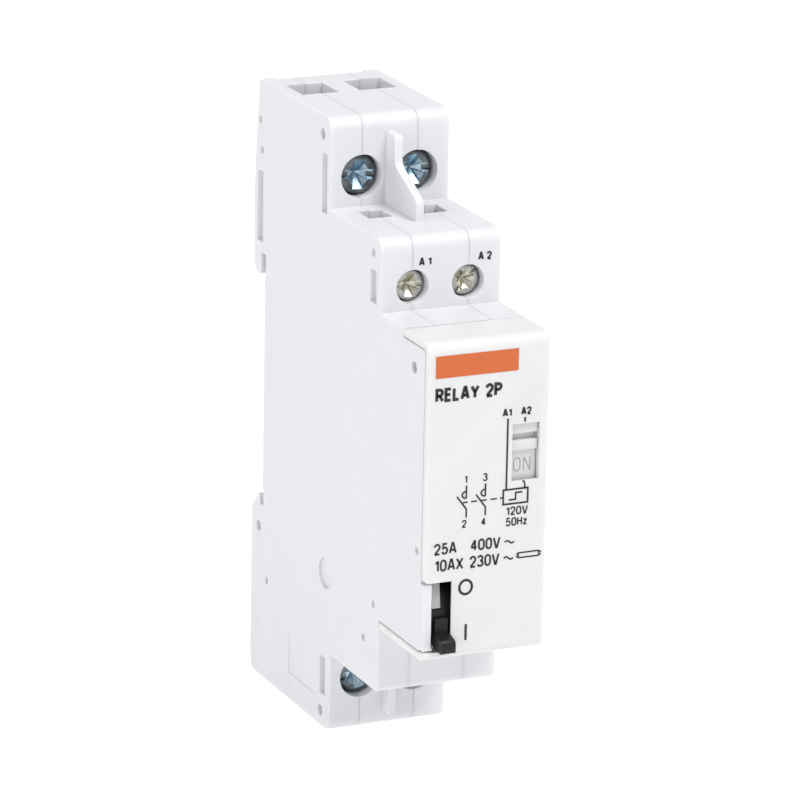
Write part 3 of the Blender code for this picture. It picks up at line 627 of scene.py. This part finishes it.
def make_springs():
    """The contact springs, and the return spring, which the plunger presses against the fixed core."""
    for side in ("left", "right"):
        wound_spring(f"contact_spring_{side}", CONTACT_SPRING_TURNS)
    spring = wound_spring("return_spring", RETURN_SPRING_TURNS)
    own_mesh(spring)


# ---- Print ----
PRINT_LIFT = 0.012          # thickness of the print
PRINT_GAP = 0.001           # the print stands this far off its surface
MITRE_LIMIT = 0.62          # keeps the corners of a stroke from growing into spikes


def ribbon(bm, points, width, closed=False):
    """A flat stroke of even width along (x, z) points, with mitred corners."""
    line = [Vector(p) for p in points]
    count = len(line)
    sides = []
    for i, here in enumerate(line):
        before = line[i - 1] if i or closed else None
        after = line[(i + 1) % count] if i < count - 1 or closed else None
        lead = (here - before).normalized() if before is not None else (after - here).normalized()
        leave = (after - here).normalized() if after is not None else lead
        across = Vector((-(lead + leave).y, (lead + leave).x)).normalized()
        reach = width / 2 / max(MITRE_LIMIT, across.dot(Vector((-lead.y, lead.x))))
        sides.append((here + across * reach, here - across * reach))
    rings = [[bm.verts.new((MM * p.x, 0, MM * p.y)) for p in pair] for pair in sides]
    pairs = list(zip(rings, rings[1:] + ([rings[0]] if closed else [])))
    for a, b in pairs if closed else pairs[:count - 1]:
        bm.faces.new((a[0], b[0], b[1], a[1]))


def thicken(bm, plane):
    """Turns flat print at y = 0 into a film on the plane y = plane."""
    made = bmesh.ops.extrude_face_region(bm, geom=list(bm.faces))["geom"]
    film = [item for item in made if isinstance(item, bmesh.types.BMVert)]
    bmesh.ops.translate(bm, verts=film, vec=(0, -PRINT_LIFT * MM, 0))
    bmesh.ops.translate(bm, verts=bm.verts, vec=(0, MM * (plane - PRINT_GAP), 0))
    return bm


def arc(centre, radius, start, end, steps):
    """Points on an ellipse from start to end, in degrees."""
    angles = [math.radians(start + (end - start) * i / steps) for i in range(steps + 1)]
    return [(centre[0] + radius[0] * math.cos(a), centre[1] + radius[1] * math.sin(a)) for a in angles]


def loop_glyph(width):
    """An upright oval with straight sides."""
    top = arc((width / 2, 0.68), (width / 2, 0.32), 0, 180, 10)
    return top + arc((width / 2, 0.32), (width / 2, 0.32), 180, 360, 10)


# Each letter: its width, then its strokes on a cell one high. A stroke that ends where it starts is closed.
GLYPHS = {
    " ": (0.16, []),
    "0": (0.46, [loop_glyph(0.46) + [(0.46, 0.68)]]),
    "1": (0.26, [[(0.24, 0), (0.24, 1)], [(0.02, 0.76), (0.22, 0.9)]]),
    "2": (0.46, [arc((0.23, 0.72), (0.23, 0.28), 175, -38, 10) + [(0.03, 0.04)], [(0, 0), (0.46, 0)]]),
    "3": (0.46, [arc((0.22, 0.76), (0.21, 0.24), 165, -90, 10),
                 arc((0.22, 0.27), (0.24, 0.27), 90, -165, 10)]),
    "4": (0.5, [[(0.36, 0), (0.36, 1)], [(0.33, 0.96), (0.02, 0.3)], [(0, 0.28), (0.5, 0.28)]]),
    "5": (0.46, [[(0.43, 1), (0.08, 1), (0.04, 0.52)] + arc((0.22, 0.32), (0.24, 0.32), 125, -160, 10)]),
    "A": (0.54, [[(0, 0), (0.23, 1), (0.31, 1), (0.54, 0)], [(0.1, 0.3), (0.44, 0.3)]]),
    "E": (0.4, [[(0.4, 1), (0, 1), (0, 0), (0.4, 0)], [(0, 0.52), (0.36, 0.52)]]),
    "H": (0.48, [[(0, 0), (0, 1)], [(0.48, 0), (0.48, 1)], [(0, 0.52), (0.48, 0.52)]]),
    "L": (0.38, [[(0, 1), (0, 0), (0.38, 0)]]),
    "N": (0.52, [[(0, 0), (0, 1)], [(0.52, 0), (0.52, 1)], [(0.04, 0.94), (0.48, 0.06)]]),
    "O": (0.52, [loop_glyph(0.52) + [(0.52, 0.68)]]),
    "P": (0.46, [[(0, 0), (0, 1)] + arc((0.2, 0.74), (0.26, 0.26), 90, -90, 8) + [(0, 0.48)]]),
    "R": (0.48, [[(0, 0), (0, 1)] + arc((0.22, 0.74), (0.25, 0.26), 90, -90, 8) + [(0, 0.48)],
                 [(0.24, 0.48), (0.5, 0)]]),
    "V": (0.54, [[(0, 1), (0.23, 0), (0.31, 0), (0.54, 1)]]),
    "X": (0.52, [[(0, 0), (0.52, 1)], [(0, 1), (0.52, 0)]]),
    "Y": (0.54, [[(0, 1), (0.27, 0.46)], [(0.54, 1), (0.27, 0.46)], [(0.27, 0.5), (0.27, 0)]]),
    "z": (0.4, [[(0, 0.66), (0.4, 0.66)], [(0.37, 0.62), (0.03, 0.04)], [(0, 0), (0.4, 0)]]),
}


def letters(bm, text, x, z, stroke, gap=0.24):
    """Adds text drawn in strokes, so that it fills the field x[0]..x[1], z[0]..z[1]."""
    total = sum(GLYPHS[letter][0] for letter in text) + gap * (len(text) - 1)
    unit = (x[1] - x[0] - stroke) / total
    height = z[1] - z[0] - stroke
    place = x[0] + stroke / 2
    for letter in text:
        width, strokes = GLYPHS[letter]
        for points in strokes:
            line = [(place + px * unit, z[0] + stroke / 2 + pz * height) for px, pz in points]
            closed = points[0] == points[-1]
            ribbon(bm, line[:-1] if closed else line, stroke, closed)
        place += (width + gap) * unit


def print_piece(name, draw, plane, ink, body):
    """A film of ink on the plane y = plane, drawn by draw."""
    bm = bmesh.new()
    draw(bm)
    new_object(name, mesh_from(thicken(bm, plane), name), INKS[ink], body)


def draw_band(bm):
    """The blank coloured field over the legend."""
    corners = [(-7.9, 16.55), (4.3, 16.55), (4.3, 19.65), (-7.9, 19.65)]
    bm.faces.new([bm.verts.new((MM * x, 0, MM * z)) for x, z in corners])


def draw_legend(bm):
    """Generic device name, coil and rating values, and terminal names."""
    letters(bm, "RELAY 2P", (-7.9, 2.0), (13.2, 15.2), 0.44, 0.28)
    letters(bm, "A1", (2.1, 3.5), (10.17, 11.32), 0.27, 0.3)
    letters(bm, "A2", (4.85, 6.4), (10.17, 11.32), 0.27, 0.3)
    letters(bm, "120V", (2.95, 6.25), (-3.85, -2.6), 0.22)
    letters(bm, "50Hz", (2.95, 6.2), (-5.4, -4.15), 0.22)
    for text, x, z in (("1", -3.1, 1.45), ("3", -0.24, 1.45), ("2", -3.24, -4.83), ("4", -0.37, -4.83)):
        half = 0.23 if text == "1" else 0.36
        letters(bm, text, (x - half, x + half), (z, z + 1.15), 0.21)
    letters(bm, "25A", (-7.65, -4.25), (-8.3, -6.62), 0.29)
    letters(bm, "400V", (-2.25, 2.25), (-8.3, -6.62), 0.29)
    letters(bm, "10AX", (-7.5, -3.2), (-10.68, -8.95), 0.29)
    letters(bm, "230V", (-2.3, 2.15), (-10.68, -8.95), 0.29)


def draw_circuit(bm):
    """Two make contacts linked to a step-by-step coil, tilde signs and a lamp symbol."""
    thin = 0.24
    ribbon(bm, [(2.92, 9.9), (2.92, -0.14)], thin * 1.15)
    ribbon(bm, [(5.47, 9.87), (5.47, 9.2)], thin * 1.15)
    ribbon(bm, [(5.3, 0.95), (5.58, 0.75), (5.66, 0.4), (5.68, -0.14)], thin)
    ribbon(bm, [(2.5, -2.2), (6.15, -2.2), (6.15, -0.16), (2.5, -0.16)], thin * 1.1, True)
    ribbon(bm, [(3.33, -1.63), (4.35, -1.63), (4.35, -0.68), (5.34, -0.68)], thin)
    for x in (-3.0, -0.18):
        ribbon(bm, [(x, 1.13), (x, -0.67)], thin)
        ribbon(bm, arc((x, -0.17), (0.62, 0.47), 90, 270, 12), thin)
        ribbon(bm, [(x - 1.38, -0.3), (x + 0.05, -2.2), (x + 0.05, -3.4)], thin)
    for start, end in ((-3.5, -2.8), (-2.28, -1.37), (-0.76, 0.03), (0.62, 1.6), (2.0, 2.43)):
        ribbon(bm, [(start, -1.22), (end, -1.22)], thin * 0.9)
    for start, z in ((2.9, -7.6), (2.8, -9.9)):
        wave = [(start + 1.4 * i / 16, z + 0.19 * math.sin(2 * math.pi * i / 16)) for i in range(17)]
        ribbon(bm, wave, thin)
    ribbon(bm, [(4.98, -10.05), (8.05, -10.05), (8.05, -9.35), (4.98, -9.35)], thin * 0.9, True)
    for end, way in ((4.88, -1), (8.15, 1)):
        for z in (-9.88, -9.52):
            ribbon(bm, [(end, z), (end + way * 0.25, z)], thin * 0.9)


def draw_lever_marks(bm):
    """O and I beside the lever's slot."""
    ribbon(bm, arc((-2.79, -13.3), (0.93, 1.0), 0, 350, 35), 0.36, True)
    ribbon(bm, [(-2.64, -18.62), (-2.64, -20.9)], 0.36)


def draw_coil_names(bm):
    """Names beside the coil screws."""
    letters(bm, "A1", (-3.3, -1.4), (27.5, 28.7), 0.27, 0.62)
    letters(bm, "A2", (5.55, 7.6), (27.5, 28.7), 0.27, 0.62)


def draw_on(bm):
    """ON in thin strokes, as sunk letters on the flag; their grey is painted shade for the grooves."""
    letters(bm, "ON", (4.35, 6.95), (1.9, 3.95), 0.17, 0.3)


def make_print():
    print_piece("label_band", draw_band, FRONT, "orange_ink", "housing")
    print_piece("cover_legend", draw_legend, FRONT, "black_ink", "housing")
    print_piece("cover_circuit", draw_circuit, FRONT, "black_ink", "housing")
    print_piece("lever_marks", draw_lever_marks, FRONT, "black_ink", "housing")
    print_piece("coil_terminal_names", draw_coil_names, STEP_FRONT, "black_ink", "housing")
    # The flag's letters are a grey film that paints the shade in their grooves.
    print_piece("flag_legend", draw_on, FLAG_FACE, "painted_groove_shade", "flag")


# ---- Floor, light and camera ----
FLOOR_HALF = 6.0            # metres
FLOOR_DROP = 0.0002         # metres below the object, so that the two don't share a plane
FLOOR_GLOW = 0.74           # lifts the floor to the photo's white


def make_floor():
    bm = bmesh.new()
    bmesh.ops.create_grid(bm, x_segments=1, y_segments=1, size=FLOOR_HALF)
    bmesh.ops.translate(bm, verts=bm.verts, vec=(0, 0, cad_bounds[0].z - FLOOR_DROP))
    mesh = mesh_from(bm, "floor")
    floor = bpy.data.objects.new("floor", mesh)
    bpy.context.scene.collection.objects.link(floor)
    paper = Finish("paper", (0.4, 0.4, 0.4), 0.9, Specular_IOR_Level=0.1)
    paper.mottle(paper.noise(0.01, 2.0), (0.395, 0.395, 0.4))
    paper.shader.inputs["Emission Color"].default_value = (1, 1, 1, 1)
    paper.shader.inputs["Emission Strength"].default_value = FLOOR_GLOW
    mesh.materials.append(paper.material)


def area_light(name, azimuth, elevation, distance, size, power):
    """A square soft box in a direction from the origin, aimed at it; metres and watts."""
    light = bpy.data.lights.new(name, "AREA")
    light.shape = "SQUARE"
    light.size = size
    light.energy = power
    obj = bpy.data.objects.new(name, light)
    bpy.context.scene.collection.objects.link(obj)
    back = direction(azimuth, elevation)
    obj.location = back * distance
    obj.rotation_mode = "QUATERNION"
    obj.rotation_quaternion = back.to_track_quat("Z", "Y")


def direction(azimuth, elevation):
    """Towards an azimuth from the front (-Y), positive to the right, and an elevation, in degrees."""
    a, e = math.radians(azimuth), math.radians(elevation)
    return Vector((math.sin(a) * math.cos(e), -math.cos(a) * math.cos(e), math.sin(e)))


def make_light():
    world = bpy.data.worlds.new("studio")
    bpy.context.scene.world = world
    world.use_nodes = True
    background = world.node_tree.nodes["Background"]
    background.inputs["Color"].default_value = (1.0, 1.0, 1.0, 1.0)
    background.inputs["Strength"].default_value = 0.6
    area_light("key_box", azimuth=25, elevation=60, distance=0.9, size=0.35, power=4.5)
    area_light("side_box", azimuth=-75, elevation=25, distance=0.9, size=0.5, power=2.0)
    bpy.context.scene.view_settings.view_transform = "Standard"


CAMERA_AZIMUTH = -24.32         # degrees; the direction and the lens are those solved for the photo
CAMERA_ELEVATION = 16.88
CAMERA_ROLL = 1.10
CAMERA_DISTANCE = 708.9
CAMERA_TARGET = (0.53, -26.76, 4.22)
CAMERA_LENS = 228.6
CAMERA_SENSOR = 36.0


def make_camera():
    back = direction(CAMERA_AZIMUTH, CAMERA_ELEVATION)
    right = Vector((0, 0, 1)).cross(back).normalized()
    up = back.cross(right)
    roll = math.radians(CAMERA_ROLL)
    level = right * math.cos(roll) + up * math.sin(roll)
    upright = up * math.cos(roll) - right * math.sin(roll)
    data = bpy.data.cameras.new("camera")
    data.sensor_width = CAMERA_SENSOR
    data.lens = CAMERA_LENS
    data.clip_start = 0.05
    data.clip_end = 50.0
    obj = bpy.data.objects.new("camera", data)
    bpy.context.scene.collection.objects.link(obj)
    turn = Matrix((level, upright, back)).transposed().to_4x4()
    place = (Vector(CAMERA_TARGET) + back * CAMERA_DISTANCE) * MM
    obj.matrix_world = Matrix.Translation(place) @ turn
    bpy.context.scene.camera = obj


def main():
    dress_cad_nodes()
    for node in ("left_shell", "right_shell"):
        moulded_piece(node, rim=0.4, edge=0.1, prepare=close_seams)
    moulded_piece("centre_body", edge=0.1, prepare=close_seams)
    moulded_piece("front_cover", rim=0.45, edge=0.12, prepare=shape_cover, deepest=FRONT + 0.4)
    moulded_piece("status_flag", edge=0.12, prepare=widen_flag)
    moulded_piece("manual_lever", edge=0.22)
    moulded_piece("rocker")
    make_screws()
    make_springs()
    make_print()
    make_floor()
    make_light()
    make_camera()


main()
